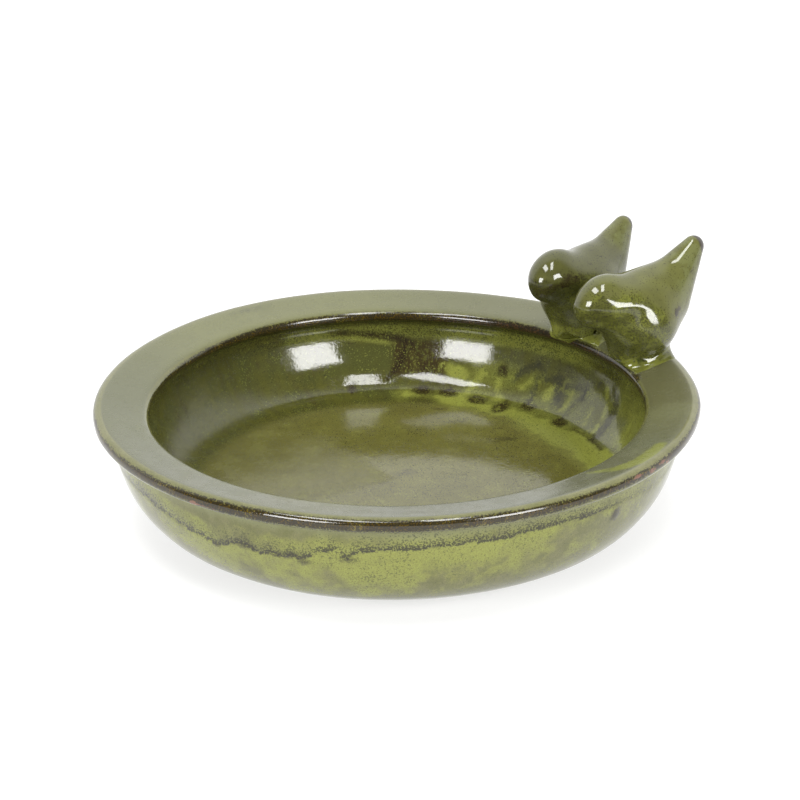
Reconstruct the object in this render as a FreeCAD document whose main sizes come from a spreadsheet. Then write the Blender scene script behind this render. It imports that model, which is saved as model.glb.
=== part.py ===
import FreeCAD, Part
import math
import os

# Glazed ceramic bird bath: a round dish with a wide flat flange, two small
# birds standing side by side on the flange, and the ring of slip that lutes
# each bird to it.  Millimetres, +Z up, origin on the table under the centre
# of the foot ring.

App = FreeCAD
doc = App.newDocument("bird_bath")

# ---------------------------------------------------------------- dimensions
sheet = doc.addObject("Spreadsheet::Sheet", "dims")
ROW = [0]


def dim(alias, value):
    ROW[0] += 1
    row = str(ROW[0])
    sheet.set("A" + row, alias.replace("_", " "))
    sheet.set("B" + row, repr(float(value)))
    sheet.setAlias("B" + row, alias)
    return float(value)


def radius3(a, m, b):
    ax, ay = a
    bx, by = m
    cx, cy = b
    d = 2.0 * (ax * (by - cy) + bx * (cy - ay) + cx * (ay - by))
    ux = ((ax**2 + ay**2) * (by - cy) + (bx**2 + by**2) * (cy - ay) + (cx**2 + cy**2) * (ay - by)) / d
    uy = ((ax**2 + ay**2) * (cx - bx) + (bx**2 + by**2) * (ax - cx) + (cx**2 + cy**2) * (bx - ax)) / d
    return math.hypot(ax - ux, ay - uy)


# Corner points of the dish's half section, as (name, radius, height).
POINTS = [
    ("recess_axis", 0.0, 7.5),
    ("recess_edge", 65.4, 7.5),
    ("foot_inner", 71.0, 0.0),
    ("foot_outer", 78.0, 0.0),
    ("foot_top", 79.8, 2.2),
    ("belly_low", 100.5, 6.3),
    ("belly_mid", 119.6, 18.0),
    ("belly_high", 128.6, 34.0),
    ("wall_top", 131.6, 50.6),
    ("cove_out", 133.6, 54.4),
    ("edge_low", 138.3, 56.0),
    ("edge_nose", 140.0, 59.2),
    ("edge_top", 136.4, 62.35),
    ("lip_top", 118.0, 58.9),
    ("lip_nose", 114.6, 55.4),
    ("lip_low", 116.8, 52.7),
    ("inner_top", 120.9, 48.8),
    ("inner_high", 118.34, 36.0),
    ("inner_low", 111.3, 24.0),
    ("floor_edge", 93.0, 17.3),
    ("floor_axis", 0.0, 17.3),
]
# Arcs of the half section: from this corner to the next one, through a point.
ARCS = {
    "foot_outer": (79.2, 0.8),
    "foot_top": (90.4, 3.6),
    "belly_low": (111.0, 11.0),
    "belly_mid": (125.2, 26.0),
    "belly_high": (130.75, 42.3),
    "wall_top": (132.2, 53.0),
    "edge_low": (139.5, 57.2),
    "edge_nose": (139.0, 61.6),
    "lip_top": (115.6, 57.6),
    "lip_nose": (115.2, 53.7),
    "inner_top": (120.3, 42.0),
    "inner_high": (115.6, 29.9),
    "inner_low": (104.2, 19.0),
}
XZ = {}
for name, rad, hgt in POINTS:
    XZ[name] = (rad, hgt)
    if rad > 0.0:
        dim(name + "_radius", rad)
    dim(name + "_height", hgt)
NEXT = {POINTS[i][0]: POINTS[(i + 1) % len(POINTS)][0] for i in range(len(POINTS))}
for name, mid in ARCS.items():
    dim(name + "_curve", radius3(XZ[name], mid, XZ[NEXT[name]]))

# The birds: one casting made twice.  Upright oval sections along the bird,
# head to tail: place along the bird, height of the middle, half height and
# half width.
SECTIONS = [
    (-37.5, 31.4, 2.0, 1.7),
    (-36.2, 31.5, 5.6, 4.6),
    (-33.0, 31.7, 9.4, 7.7),
    (-28.0, 31.1, 13.2, 10.5),
    (-21.0, 29.0, 16.7, 13.2),
    (-11.0, 26.9, 17.1, 15.9),
    (0.0, 26.8, 16.8, 16.5),
    (10.0, 27.4, 17.5, 14.7),
    (17.5, 29.9, 17.8, 11.0),
    (23.5, 34.9, 16.2, 8.1),
    (28.5, 41.3, 11.5, 5.7),
    (32.4, 45.9, 6.5, 3.9),
    (34.9, 47.5, 1.7, 1.4),
]
# Hollow inside the casting: three balls in a row, each with its place along
# the bird, height and radius.
HOLLOWS = {"head": (-19.5, 29.4, 8.2), "chest": (-7.0, 26.6, 10.6), "back": (6.5, 27.4, 10.0)}

for spot, (u, w, r) in HOLLOWS.items():
    dim(spot + "_hollow_place", u)
    dim(spot + "_hollow_mid", w)
    dim(spot + "_hollow_radius", r)
for i, (u, w, hh, hw) in enumerate(SECTIONS):
    k = "section%02d_" % i
    dim(k + "place", u)
    dim(k + "mid", w)
    dim(k + "tall", hh)
    dim(k + "wide", hw)
# Stem and full belly of each bird, as level ovals: height, half length, half
# width.
FOOT = [(-3.9, 13.4, 12.0), (4.0, 13.0, 11.4), (11.0, 17.4, 16.8), (18.0, 19.6, 19.0), (23.0, 19.4, 18.2), (28.0, 16.8, 14.6)]
for i, (w, a, b) in enumerate(FOOT):
    k = "stem%d_" % i
    dim(k + "level", w)
    dim(k + "long", a)
    dim(k + "wide", b)
dim("flange_slope", 11.05)
dim("stem_bore_long", 8.2)
dim("stem_bore_wide", 7.0)
dim("vent_radius", 1.1)
dim("vent_level", 5.6)
dim("vent_set_back", 2.6)
# Ring of slip round each stem: height, half length, half width.
SLIP = [(-2.6, 14.8, 14.2), (-0.4, 14.7, 14.0), (3.2, 14.0, 12.8)]
for i, (w, a, b) in enumerate(SLIP):
    k = "slip%d_" % i
    dim(k + "level", w)
    dim(k + "long", a)
    dim(k + "wide", b)
# Where each bird stands on the flange: radius, angle and height of its
# origin, the heading of its tail, its small fore-and-aft and sideways lean,
# and how far along it the stem and the slip ring sit.
BIRDS = {
    "front": dict(reach=128.57, angle=21.47, heading=28.97, pitch=4.02, lean=0.79, stand=61.0, stem=-3.2, slip=-3.2, vent=1.0),
    "rear": dict(reach=122.6, angle=40.6, heading=45.85, pitch=-3.09, lean=-3.28, stand=59.85, stem=-2.4, slip=-2.4, vent=-1.0),
}
for which, b in BIRDS.items():
    for key, value in b.items():
        dim(which + "_" + key, value)
doc.recompute()


def cell(alias):
    return float(sheet.get(alias))


# ----------------------------------------------------------------- the dish
bowl = doc.addObject("PartDesign::Body", "bowl")
bowl.Label = "bowl"
plane = [f for f in bowl.Origin.OriginFeatures if getattr(f, "Role", "") == "XZ_Plane"][0]
sk = bowl.newObject("Sketcher::SketchObject", "bowl_section")
sk.AttachmentSupport = [(plane, "")]
sk.MapMode = "FlatFace"
import Sketcher

V = App.Vector
geo = {}
names = [p[0] for p in POINTS]
for name in names:
    a, b = XZ[name], XZ[NEXT[name]]
    pa, pb = V(a[0], a[1], 0), V(b[0], b[1], 0)
    if name in ARCS:
        mid = ARCS[name]
        pm = V(mid[0], mid[1], 0)
        # arcs are kept anticlockwise, so some run from the far corner back
        turn_left = (pm - pa).cross(pb - pm).z > 0
        arc = Part.Arc(pa, pm, pb) if turn_left else Part.Arc(pb, pm, pa)
        idx = sk.addGeometry(arc, False)
        first = 1 if turn_left else 2
    else:
        idx = sk.addGeometry(Part.LineSegment(pa, pb), False)
        first = 1
    geo[name] = (idx, first, 3 - first)
for name in names:
    i, f, l = geo[name]
    j, f2, l2 = geo[NEXT[name]]
    sk.addConstraint(Sketcher.Constraint("Coincident", i, l, j, f2))
for name in names:
    i, f, l = geo[name]
    r, z = XZ[name]
    if r > 0.0:
        c = sk.addConstraint(Sketcher.Constraint("DistanceX", -1, 1, i, f, r))
        sk.setExpression("Constraints[%d]" % c, "dims.%s_radius" % name)
    else:
        sk.addConstraint(Sketcher.Constraint("PointOnObject", i, f, -2))
    if z > 0.0:
        c = sk.addConstraint(Sketcher.Constraint("DistanceY", -1, 1, i, f, z))
        sk.setExpression("Constraints[%d]" % c, "dims.%s_height" % name)
    else:
        sk.addConstraint(Sketcher.Constraint("PointOnObject", i, f, -1))
for name in ARCS:
    i = geo[name][0]
    c = sk.addConstraint(Sketcher.Constraint("Radius", i, cell(name + "_curve")))
    sk.setExpression("Constraints[%d]" % c, "dims.%s_curve" % name)
doc.recompute()
turn = bowl.newObject("PartDesign::Revolution", "bowl_turned")
turn.Profile = sk
turn.ReferenceAxis = (sk, ["V_Axis"])
turn.Angle = 360.0
bowl.Tip = turn
doc.recompute()


# ---------------------------------------------------------------- the birds
UPRIGHT = App.Rotation(V(0, 1, 0), -90)


def oval_upright(name, i):
    k = "dims.section%02d_" % i
    e = doc.addObject("Part::Ellipse", name)
    u, w, hh, hw = SECTIONS[i]
    e.Placement = App.Placement(V(u, 0, w), UPRIGHT)
    e.setExpression("MajorRadius", k + "tall")
    e.setExpression("MinorRadius", k + "wide")
    e.setExpression("Placement.Base.x", k + "place")
    e.setExpression("Placement.Base.z", k + "mid")
    return e


def oval_level(name, alias, stem):
    e = doc.addObject("Part::Ellipse", name)
    e.setExpression("MajorRadius", "dims.%s_long" % alias)
    e.setExpression("MinorRadius", "dims.%s_wide" % alias)
    e.setExpression("Placement.Base.x", stem)
    e.setExpression("Placement.Base.z", "dims.%s_level" % alias)
    return e


def loft(name, sections):
    f = doc.addObject("Part::Loft", name)
    f.Sections = sections
    f.Solid = True
    f.Ruled = True
    f.Closed = False
    return f


def pose(which):
    yaw = App.Rotation(V(0, 0, 1), cell(which + "_heading"))
    pitch = App.Rotation(V(0, 1, 0), -cell(which + "_pitch"))
    lean = App.Rotation(V(1, 0, 0), cell(which + "_lean"))
    # the slip ring lies on the sloping flange
    out = App.Rotation(V(0, 0, 1), cell(which + "_angle"))
    slope = App.Rotation(V(0, 1, 0), -cell("flange_slope"))
    turned = App.Rotation(V(0, 0, 1), cell(which + "_heading") - cell(which + "_angle"))
    return yaw.multiply(pitch).multiply(lean), out.multiply(slope).multiply(turned)


def stand(obj, which, rot):
    a = math.radians(cell(which + "_angle"))
    r = cell(which + "_reach")
    obj.Placement = App.Placement(V(r * math.cos(a), r * math.sin(a), cell(which + "_stand")), rot)
    obj.setExpression("Placement.Base.x", "dims.%s_reach * cos(dims.%s_angle)" % (which, which))
    obj.setExpression("Placement.Base.y", "dims.%s_reach * sin(dims.%s_angle)" % (which, which))
    obj.setExpression("Placement.Base.z", "dims.%s_stand" % which)


parts = [bowl]
solid_birds = {}
for which in ("front", "rear"):
    n = which
    rot, on_flange = pose(which)
    stem_at = "dims.%s_stem" % which
    outer = loft(n + "_form", [oval_upright("%s_oval%02d" % (n, i), i) for i in range(len(SECTIONS))])
    stem = loft(n + "_stem", [oval_level("%s_stem%d" % (n, i), "stem%d" % i, stem_at) for i in range(len(FOOT))])
    body = doc.addObject("Part::MultiFuse", n + "_outside")
    body.Shapes = [outer, stem]
    inner = []
    for spot in HOLLOWS:
        e = doc.addObject("Part::Sphere", "%s_%s_hollow" % (n, spot))
        e.setExpression("Radius", "dims.%s_hollow_radius" % spot)
        e.setExpression("Placement.Base.x", "dims.%s_hollow_place" % spot)
        e.setExpression("Placement.Base.z", "dims.%s_hollow_mid" % spot)
        inner.append(e)
    bore_low = doc.addObject("Part::Ellipse", n + "_bore_low")
    bore_top = doc.addObject("Part::Ellipse", n + "_bore_top")
    for e, z in ((bore_low, -9.0), (bore_top, 22.0)):
        e.Placement = App.Placement(V(0, 0, z), App.Rotation())
        e.setExpression("MajorRadius", "dims.stem_bore_long")
        e.setExpression("MinorRadius", "dims.stem_bore_wide")
        e.setExpression("Placement.Base.x", stem_at)
    bore = loft(n + "_bore", [bore_low, bore_top])
    vent = doc.addObject("Part::Cylinder", n + "_vent")
    vent.setExpression("Radius", "dims.vent_radius")
    vent.Height = 14.0
    side = BIRDS[which]["vent"]
    vent.Placement = App.Placement(V(cell(which + "_stem") - cell("vent_set_back"), side * 4.0, 0), App.Rotation(V(1, 0, 0), -90.0 * side))
    vent.setExpression("Placement.Base.x", stem_at + " - dims.vent_set_back")
    vent.setExpression("Placement.Base.z", "dims.vent_level")
    hollow = doc.addObject("Part::MultiFuse", n + "_space")
    hollow.Shapes = inner + [bore, vent]
    casting = doc.addObject("Part::Cut", n + "_casting")
    casting.Base = body
    casting.Tool = hollow
    doc.recompute()
    stand(casting, which, rot)
    doc.recompute()
    bird = doc.addObject("Part::Cut", "bird_" + n)
    bird.Base = casting
    bird.Tool = bowl
    bird.Label = "bird_" + n
    doc.recompute()
    # the same outside, not hollow, to trim the slip ring to the stem
    plug = doc.addObject("Part::Compound", n + "_outside_placed")
    plug.Links = [body]
    doc.recompute()
    stand(plug, which, rot)
    doc.recompute()
    ring = loft(n + "_slip_form", [oval_level("%s_slip%d" % (n, i), "slip%d" % i, "dims.%s_slip" % which) for i in range(len(SLIP))])
    doc.recompute()
    stand(ring, which, on_flange)
    doc.recompute()
    ring_cut = doc.addObject("Part::Cut", n + "_slip_on_rim")
    ring_cut.Base = ring
    ring_cut.Tool = bowl
    slip = doc.addObject("Part::Cut", "slip_joint_" + n)
    slip.Base = ring_cut
    slip.Tool = plug
    slip.Label = "slip_joint_" + n
    doc.recompute()
    parts += [bird, slip]

doc.recompute()

# ----------------------------------------------------------------- checks
bad = []
for o in doc.Objects:
    if any(word in ("Invalid", "Error") for word in o.State):
        bad.append("%s %s" % (o.Name, o.State))
for o in parts:
    s = o.Shape
    if s.isNull() or not s.isValid() or s.Volume <= 0 or len(s.Solids) != 1:
        bad.append("%s null=%s valid=%s solids=%d" % (o.Label, s.isNull(), (not s.isNull()) and s.isValid(), 0 if s.isNull() else len(s.Solids)))
if bad:
    raise RuntimeError("failed: " + "; ".join(bad))
for i in range(len(parts)):
    for j in range(i):
        c = parts[i].Shape.common(parts[j].Shape)
        if c.Volume > 0.01:
            raise RuntimeError("overlap %s %s %.3f" % (parts[i].Label, parts[j].Label, c.Volume))

os.makedirs("parts", exist_ok=True)
for o in parts:
    bb = o.Shape.BoundBox
    print("%-18s volume %9.1f mm3  x %.1f..%.1f y %.1f..%.1f z %.1f..%.1f faces %d" % (
        o.Label, o.Shape.Volume, bb.XMin, bb.XMax, bb.YMin, bb.YMax, bb.ZMin, bb.ZMax, len(o.Shape.Faces)))
    o.Shape.exportStep("parts/" + o.Label + ".step")
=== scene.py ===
import math

import bpy
import numpy as np
from mathutils import Matrix, Vector


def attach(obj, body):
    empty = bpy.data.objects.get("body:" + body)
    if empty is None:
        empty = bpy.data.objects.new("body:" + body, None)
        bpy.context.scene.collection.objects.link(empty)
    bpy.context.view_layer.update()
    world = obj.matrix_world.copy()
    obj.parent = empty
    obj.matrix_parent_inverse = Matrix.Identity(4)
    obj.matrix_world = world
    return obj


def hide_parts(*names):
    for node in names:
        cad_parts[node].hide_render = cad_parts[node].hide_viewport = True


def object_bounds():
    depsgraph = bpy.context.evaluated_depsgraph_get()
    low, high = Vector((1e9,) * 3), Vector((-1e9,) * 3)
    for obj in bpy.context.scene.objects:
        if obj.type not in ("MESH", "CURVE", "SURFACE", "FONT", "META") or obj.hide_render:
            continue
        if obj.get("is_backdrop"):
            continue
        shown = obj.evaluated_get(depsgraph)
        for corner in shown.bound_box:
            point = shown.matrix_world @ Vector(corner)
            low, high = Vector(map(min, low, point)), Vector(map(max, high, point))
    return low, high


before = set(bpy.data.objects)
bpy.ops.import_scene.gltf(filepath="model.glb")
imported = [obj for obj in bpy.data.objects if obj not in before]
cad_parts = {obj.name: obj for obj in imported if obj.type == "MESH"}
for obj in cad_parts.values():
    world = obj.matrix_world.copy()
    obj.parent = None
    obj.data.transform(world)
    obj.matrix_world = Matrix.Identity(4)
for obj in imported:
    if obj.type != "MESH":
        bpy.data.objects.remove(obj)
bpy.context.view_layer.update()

MM = 0.001
scene = bpy.context.scene


# ------------------------------------------------------------------ helpers
def noise3(p, seed):
    """Smooth value noise in 0..1 at points p (n, 3), one lump per unit."""
    p = np.asarray(p, float)
    i0 = np.floor(p).astype(np.int64)
    f = p - i0
    f = f * f * f * (f * (f * 6 - 15) + 10)
    out = np.zeros(p.shape[:-1])
    for dx in (0, 1):
        for dy in (0, 1):
            for dz in (0, 1):
                h = ((i0[..., 0] + dx) * 374761393 + (i0[..., 1] + dy) * 668265263
                     + (i0[..., 2] + dz) * 1274126177 + seed * 974634777) & 0xFFFFFFFF
                h = ((h ^ (h >> 13)) * 1274126177) & 0xFFFFFFFF
                h = ((h ^ (h >> 16)) * 2246822519) & 0xFFFFFFFF
                h = (h ^ (h >> 15)) / 4294967295.0
                w = (f[..., 0] if dx else 1 - f[..., 0]) * (f[..., 1] if dy else 1 - f[..., 1]) * (f[..., 2] if dz else 1 - f[..., 2])
                out += w * h
    return out


def fbm(p, seed, octaves=4, gain=0.5):
    total, amp, norm = 0.0, 1.0, 0.0
    p = np.asarray(p, float)
    for k in range(octaves):
        total = total + amp * noise3(p, seed + 17 * k)
        norm += amp
        amp *= gain
        p = p * 2.03 + 11.7
    return total / norm


def smooth(a, b, x):
    t = np.clip((np.asarray(x, float) - a) / (b - a), 0, 1)
    return t * t * (3 - 2 * t)


def curve_through(points, step):
    """Centripetal spline through (r, z, spacing) points, sampled at about that spacing."""
    P = np.array([(p[0], p[1]) for p in points], float)
    P = np.vstack([2 * P[0] - P[1], P, 2 * P[-1] - P[-2]])
    out = []
    for i in range(1, len(P) - 2):
        p0, p1, p2, p3 = P[i - 1], P[i], P[i + 1], P[i + 2]
        t0 = 0.0
        t1 = t0 + np.linalg.norm(p1 - p0) ** 0.5
        t2 = t1 + np.linalg.norm(p2 - p1) ** 0.5
        t3 = t2 + np.linalg.norm(p3 - p2) ** 0.5
        gap = points[i - 1][2] * step
        n = max(2, int(math.ceil(np.linalg.norm(p2 - p1) / gap)))
        for t in np.linspace(t1, t2, n, endpoint=False):
            a1 = (t1 - t) / (t1 - t0) * p0 + (t - t0) / (t1 - t0) * p1
            a2 = (t2 - t) / (t2 - t1) * p1 + (t - t1) / (t2 - t1) * p2
            a3 = (t3 - t) / (t3 - t2) * p2 + (t - t2) / (t3 - t2) * p3
            b1 = (t2 - t) / (t2 - t0) * a1 + (t - t0) / (t2 - t0) * a2
            b2 = (t3 - t) / (t3 - t1) * a2 + (t - t1) / (t3 - t1) * a3
            out.append((t2 - t) / (t2 - t1) * b1 + (t - t1) / (t2 - t1) * b2)
    out.append(P[-2])
    return np.array(out)


def new_mesh(name, verts, faces, fields=None, smooth_shading=True):
    me = bpy.data.meshes.new(name)
    me.from_pydata([tuple(v) for v in np.asarray(verts, float) * MM], [], faces)
    me.validate()
    me.update()
    if smooth_shading:
        me.polygons.foreach_set("use_smooth", [True] * len(me.polygons))
    for key, values in (fields or {}).items():
        att = me.attributes.new(key, "FLOAT", "POINT")
        att.data.foreach_set("value", np.asarray(values, np.float32).ravel())
    ob = bpy.data.objects.new(name, me)
    scene.collection.objects.link(ob)
    return ob


# ------------------------------------------------------------------ the dish
# Half section in millimetres: radius, height, spacing of the mesh rings.
SECTION = [
    (0.0, 7.5, 12.0), (30.0, 7.5, 12.0), (56.0, 7.5, 6.0), (62.5, 7.4, 3.0), (65.4, 6.8, 1.8), (67.2, 5.4, 1.8), (68.7, 2.8, 1.6), (69.9, 0.8, 1.2),
    (71.2, 0.0, 1.6), (72.6, 0.0, 3.0), (75.8, 0.0, 1.6), (77.0, 0.0, 1.2), (78.2, 0.3, 1.2), (79.0, 1.1, 1.2), (79.8, 2.0, 1.2), (81.4, 2.55, 1.8), (84.5, 2.95, 2.4),
    (93.0, 4.2, 2.0), (100.5, 6.3, 1.9), (107.0, 8.9, 1.9), (111.0, 11.0, 1.8), (115.6, 14.0, 1.8), (119.6, 18.0, 1.7), (122.7, 22.0, 1.6), (125.2, 26.0, 1.5),
    (127.1, 30.0, 1.4), (128.6, 34.0, 1.3), (129.95, 38.6, 1.3), (131.0, 44.0, 1.2), (131.5, 49.0, 1.2), (131.75, 51.6, 0.9), (132.3, 53.3, 0.9), (133.6, 54.6, 1.2),
    (135.9, 55.35, 1.1), (137.9, 55.85, 0.8), (139.2, 56.7, 0.7), (139.85, 57.9, 0.7), (140.0, 59.2, 0.7), (139.85, 60.45, 0.7), (139.2, 61.5, 0.7),
    (138.0, 62.15, 0.9), (136.4, 62.35, 1.0), (134.6, 62.2, 2.0), (126.5, 60.62, 1.9), (119.6, 59.27, 1.0), (117.7, 58.8, 0.9), (116.2, 58.05, 0.7), (115.15, 57.05, 0.7),
    (114.65, 55.9, 0.7), (114.7, 54.7, 0.7), (115.3, 53.7, 0.8), (116.5, 52.85, 0.9), (118.2, 52.1, 1.0), (119.8, 51.0, 1.0), (120.8, 49.4, 1.1),
    (121.2, 47.4, 1.2), (120.85, 44.0, 1.3), (119.8, 40.0, 1.3), (118.34, 36.0, 1.3), (116.56, 32.0, 1.3), (114.34, 28.0, 1.3), (111.33, 24.0, 1.3), (108.0, 21.0, 1.2),
    (104.4, 19.0, 1.2), (101.2, 18.0, 1.3), (97.2, 17.45, 1.6), (90.0, 17.3, 2.2), (70.0, 17.3, 3.0), (40.0, 17.3, 4.2), (15.0, 17.3, 5.0), (0.0, 17.3, 5.0),
]
prof = curve_through(SECTION, 1.0)
prof[0, 0] = prof[-1, 0] = 0.0
prof[:, 1] = np.maximum(prof[:, 1], 0.0)
SEG = 456
ring = prof[1:-1]
NR = len(ring)
theta = np.arange(SEG) / SEG * 2 * math.pi
R = np.repeat(ring[:, 0], SEG).reshape(NR, SEG)
Z = np.repeat(ring[:, 1], SEG).reshape(NR, SEG)
T = np.tile(theta, (NR, 1))
# Way along the section in millimetres from the nose of the inner lip:
# positive down the inside, negative over the rim and down the outside.
way = np.r_[0, np.cumsum(np.hypot(*np.diff(prof, axis=0).T))]
nose = int(np.argmin(np.where((prof[:, 1] > 54.5) & (prof[:, 1] < 56.5) & (prof[:, 0] < 120), prof[:, 0], 999.0)))
S = np.repeat((way - way[nose])[1:-1], SEG).reshape(NR, SEG)
D = np.degrees(T)
# outward normal of the section
dr, dz = np.gradient(prof[:, 0]), np.gradient(prof[:, 1])
ln = np.maximum(np.hypot(dr, dz), 1e-9)
NRM_R = np.repeat((dz / ln)[1:-1], SEG).reshape(NR, SEG)
NRM_Z = np.repeat((-dr / ln)[1:-1], SEG).reshape(NR, SEG)
P0 = np.stack([R * np.cos(T), R * np.sin(T), Z], -1)


def turned(a):
    return (np.asarray(a, float) + 180.0) % 360.0 - 180.0


def around(points):
    """Value by angle round the dish, straight between the given (degrees, value) points."""
    xs, ys = zip(*points)
    return np.interp(D, xs, ys, period=360)


def window(mid, half, soft):
    """1 within half of the mid angle, falling to 0 over soft degrees."""
    return smooth(half + soft, half, np.abs(turned(D - mid)))


def spot(t, s, a, b):
    """Signed distance, in mm on the glaze, to an oval mark at angle t and way s."""
    x, y = np.radians(turned(D - t)) * R, S - s
    return (np.hypot(x / a, y / b) - 1.0) * min(a, b)


def stroke(points):
    """Signed distance, in mm on the glaze, to a run of glaze through (angle, way, half width)."""
    out = np.full(D.shape, 40.0)
    for (t0, s0, w0), (t1, s1, w1) in zip(points[:-1], points[1:]):
        x, y = np.radians(turned(D - t0)) * R, S - s0
        ex, ey = np.radians(turned(t1 - t0)) * R, s1 - s0
        k = np.clip((x * ex + y * ey) / np.maximum(ex * ex + ey * ey, 1e-9), 0, 1)
        out = np.minimum(out, np.hypot(x - k * ex, y - k * ey) - (w0 + (w1 - w0) * k))
    return out


big = fbm(P0 / 38.0, 3, 3)
mid = fbm(P0 / 14.0, 5, 3)
small = fbm(P0 / 5.0, 7, 3)
on_wall = smooth(0.5, 2.0, S)
on_outside = smooth(-33.0, -36.0, S)
on_rim = smooth(-24.5, -23.0, S) * smooth(-2.5, -4.5, S)

# --- dark blots and runs of glaze inside
dark = np.full(D.shape, 40.0)
for t, s, a, b in [(82.5, 45.0, 5.0, 3.3), (75.2, 45.1, 5.6, 3.6), (66.1, 48.7, 5.0, 4.0), (58.0, 52.1, 4.0, 6.2), (50.6, 45.0, 4.2, 3.4), (38.0, 48.3, 4.8, 3.6),
                   (61.9, 29.3, 3.0, 3.4), (102.2, 42.6, 2.4, 3.4)]:
    dark = np.minimum(dark, spot(t, s, a, b))
for run in ([(32.1, 47.7, 0.5), (23.3, 47.4, 0.9), (15.8, 47.6, 0.5)],
            [(106.5, 12.2, 0.5), (103.0, 12.8, 1.3), (99.5, 13.5, 1.2), (97.5, 14.4, 1.7), (95.0, 14.8, 1.6), (91.5, 15.9, 2.0), (88.4, 17.0, 2.4), (86.3, 19.8, 2.2)],
            [(87.4, 20.4, 1.8), (88.6, 28.5, 2.0), (90.6, 34.0, 1.8), (92.4, 38.5, 0.9)]):
    dark = np.minimum(dark, stroke(run))
# grey runs on the birds' side
grey = np.minimum(spot(43.2, 36.0, 4.0, 5.0), spot(32.4, 21.0, 2.0, 1.8))
for run in ([(58.3, 32.5, 1.0), (57.4, 29.2, 1.8), (55.3, 25.7, 2.3), (52.4, 22.2, 2.2), (51.2, 23.6, 1.4), (51.8, 30.3, 0.8), (51.7, 42.4, 1.3)],
            [(49.2, 28.4, 2.2), (45.3, 26.0, 2.4), (45.4, 31.5, 1.6), (44.0, 35.0, 2.4)],
            [(42.6, 28.2, 1.4), (36.8, 26.4, 2.6), (36.6, 30.0, 1.6), (38.4, 37.5, 1.2)], [(38.6, 36.0, 1.2), (38.4, 45.0, 1.0)],
            [(26.4, 19.5, 1.4), (24.4, 24.5, 2.2), (23.6, 30.0, 2.7), (23.7, 40.2, 2.9), (23.0, 45.6, 2.2)]):
    grey = np.minimum(grey, stroke(run))
# broken brown streaks beside the long run
cloud = np.maximum(window(87.8, 1.8, 1.8) * smooth(15.5, 19.0, S) * smooth(38.5, 34.0, S), window(81.2, 3.4, 1.6) * smooth(20.0, 25.0, S) * smooth(38.0, 34.5, S))
cloud = np.maximum(cloud, 0.95 * window(84.4, 5.4, 2.2) * smooth(15.0, 20.0, S) * smooth(39.0, 34.0, S))
cloud = np.maximum(cloud, 0.35 * window(71.0, 10.0, 5.0) * smooth(36.0, 39.0, S) * smooth(44.0, 40.0, S))

# --- lime glaze
lime = np.zeros(D.shape)
lime = np.maximum(lime, (0.50 + 0.2 * window(56.0, 16.0, 10.0)) * smooth(6.5, 10.5, S) * smooth(21.0, 14.5, S) * window(77.0, 34.0, 16.0))
lime = np.maximum(lime, 0.6 * smooth(2.8, 0.2, np.abs(stroke([(107.6, 14.2, 0.0), (99.5, 16.2, 0.0), (93.2, 18.6, 0.0), (88.2, 20.6, 0.0)]) - 0.4)))
# a wide soft lime ground under the runs of the birds' side
lime = np.maximum(lime, (0.46 + 0.5 * (mid - 0.5)) * window(44.0, 26.0, 10.0) * smooth(20.0, 27.0, S) * smooth(58.0, 50.0, S))
lime = np.maximum(lime, (0.5 + 0.5 * (mid - 0.5)) * window(12.0, 10.0, 9.0) * smooth(7.0, 12.0, S) * smooth(50.0, 38.0, S))
for run in ([(55.6, 36.0, 2.6), (54.0, 31.5, 2.2), (53.3, 27.5, 1.0)], [(47.3, 31.5, 1.8), (47.4, 38.0, 2.2)], [(40.2, 30.5, 1.0), (39.9, 35.0, 1.6), (41.0, 42.0, 2.0)],
            [(29.0, 21.9, 1.4), (27.6, 29.0, 2.0), (26.6, 36.0, 2.0), (25.7, 42.5, 1.6)], [(32.0, 33.0, 1.0), (31.0, 42.0, 1.6)],
            [(62.5, 34.0, 2.4), (61.0, 44.0, 3.2)], [(68.0, 33.0, 3.0), (70.0, 44.0, 3.6)], [(78.0, 31.0, 2.6), (73.0, 33.5, 4.4)], [(86.4, 22.0, 0.8), (85.0, 33.0, 1.4)]):
    lime = np.maximum(lime, 0.78 * smooth(2.6, -1.8, stroke(run) + 5.0 * (small - 0.5)))
# the lime that pooled along the foot of the wall
pooled = stroke([(87.0, 48.0, 0.6), (80.0, 49.0, 2.6), (72.0, 50.5, 4.0), (66.0, 53.0, 4.6), (57.0, 56.5, 6.0), (48.0, 56.0, 7.0), (38.0, 57.0, 8.0), (26.0, 56.5, 8.5), (12.0, 53.0, 7.0), (2.0, 50.0, 4.0)])
lime = np.maximum(lime, 0.95 * smooth(5.0, -3.0, pooled + 10.0 * (mid - 0.5) + 8.0 * (small - 0.5)))
lime = np.maximum(lime, 0.5 * smooth(13.0, 0.0, pooled + 10.0 * (mid - 0.5) + 6.0 * (small - 0.5)))
lime *= on_wall
# smoother green panel on the far wall
panel = window(97.0, 8.0, 2.5) * smooth(18.0, 21.0, S) * smooth(37.0, 31.0, S) * smooth(0.0, 2.0, dark)

# --- grey film that thickens on the birds' side, and a thinner grey opposite that is painted reflection
grey_film_and_reflection = 0.85 * window(33.5, 4.0, 4.0) * smooth(25.0, 31.0, S) * smooth(49.0, 43.0, S)
grey_film_and_reflection = np.maximum(grey_film_and_reflection, 0.9 * window(20.0, 2.4, 3.0) * smooth(26.0, 31.0, S) * smooth(52.0, 46.0, S))
grey_film_and_reflection = np.maximum(grey_film_and_reflection, 0.5 * window(47.0, 12.0, 6.0) * smooth(15.0, 19.0, S) * smooth(32.0, 25.0, S))
# painted reflection: a thin grey on the low wall at the left
grey_film_and_reflection = np.maximum(grey_film_and_reflection, 0.5 * window(150.0, 22.0, 16.0) * smooth(30.0, 36.0, S) * smooth(50.0, 42.0, S))
grey_film_and_reflection *= on_wall * (1.0 - 0.7 * smooth(0.4, 0.9, lime))
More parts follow.
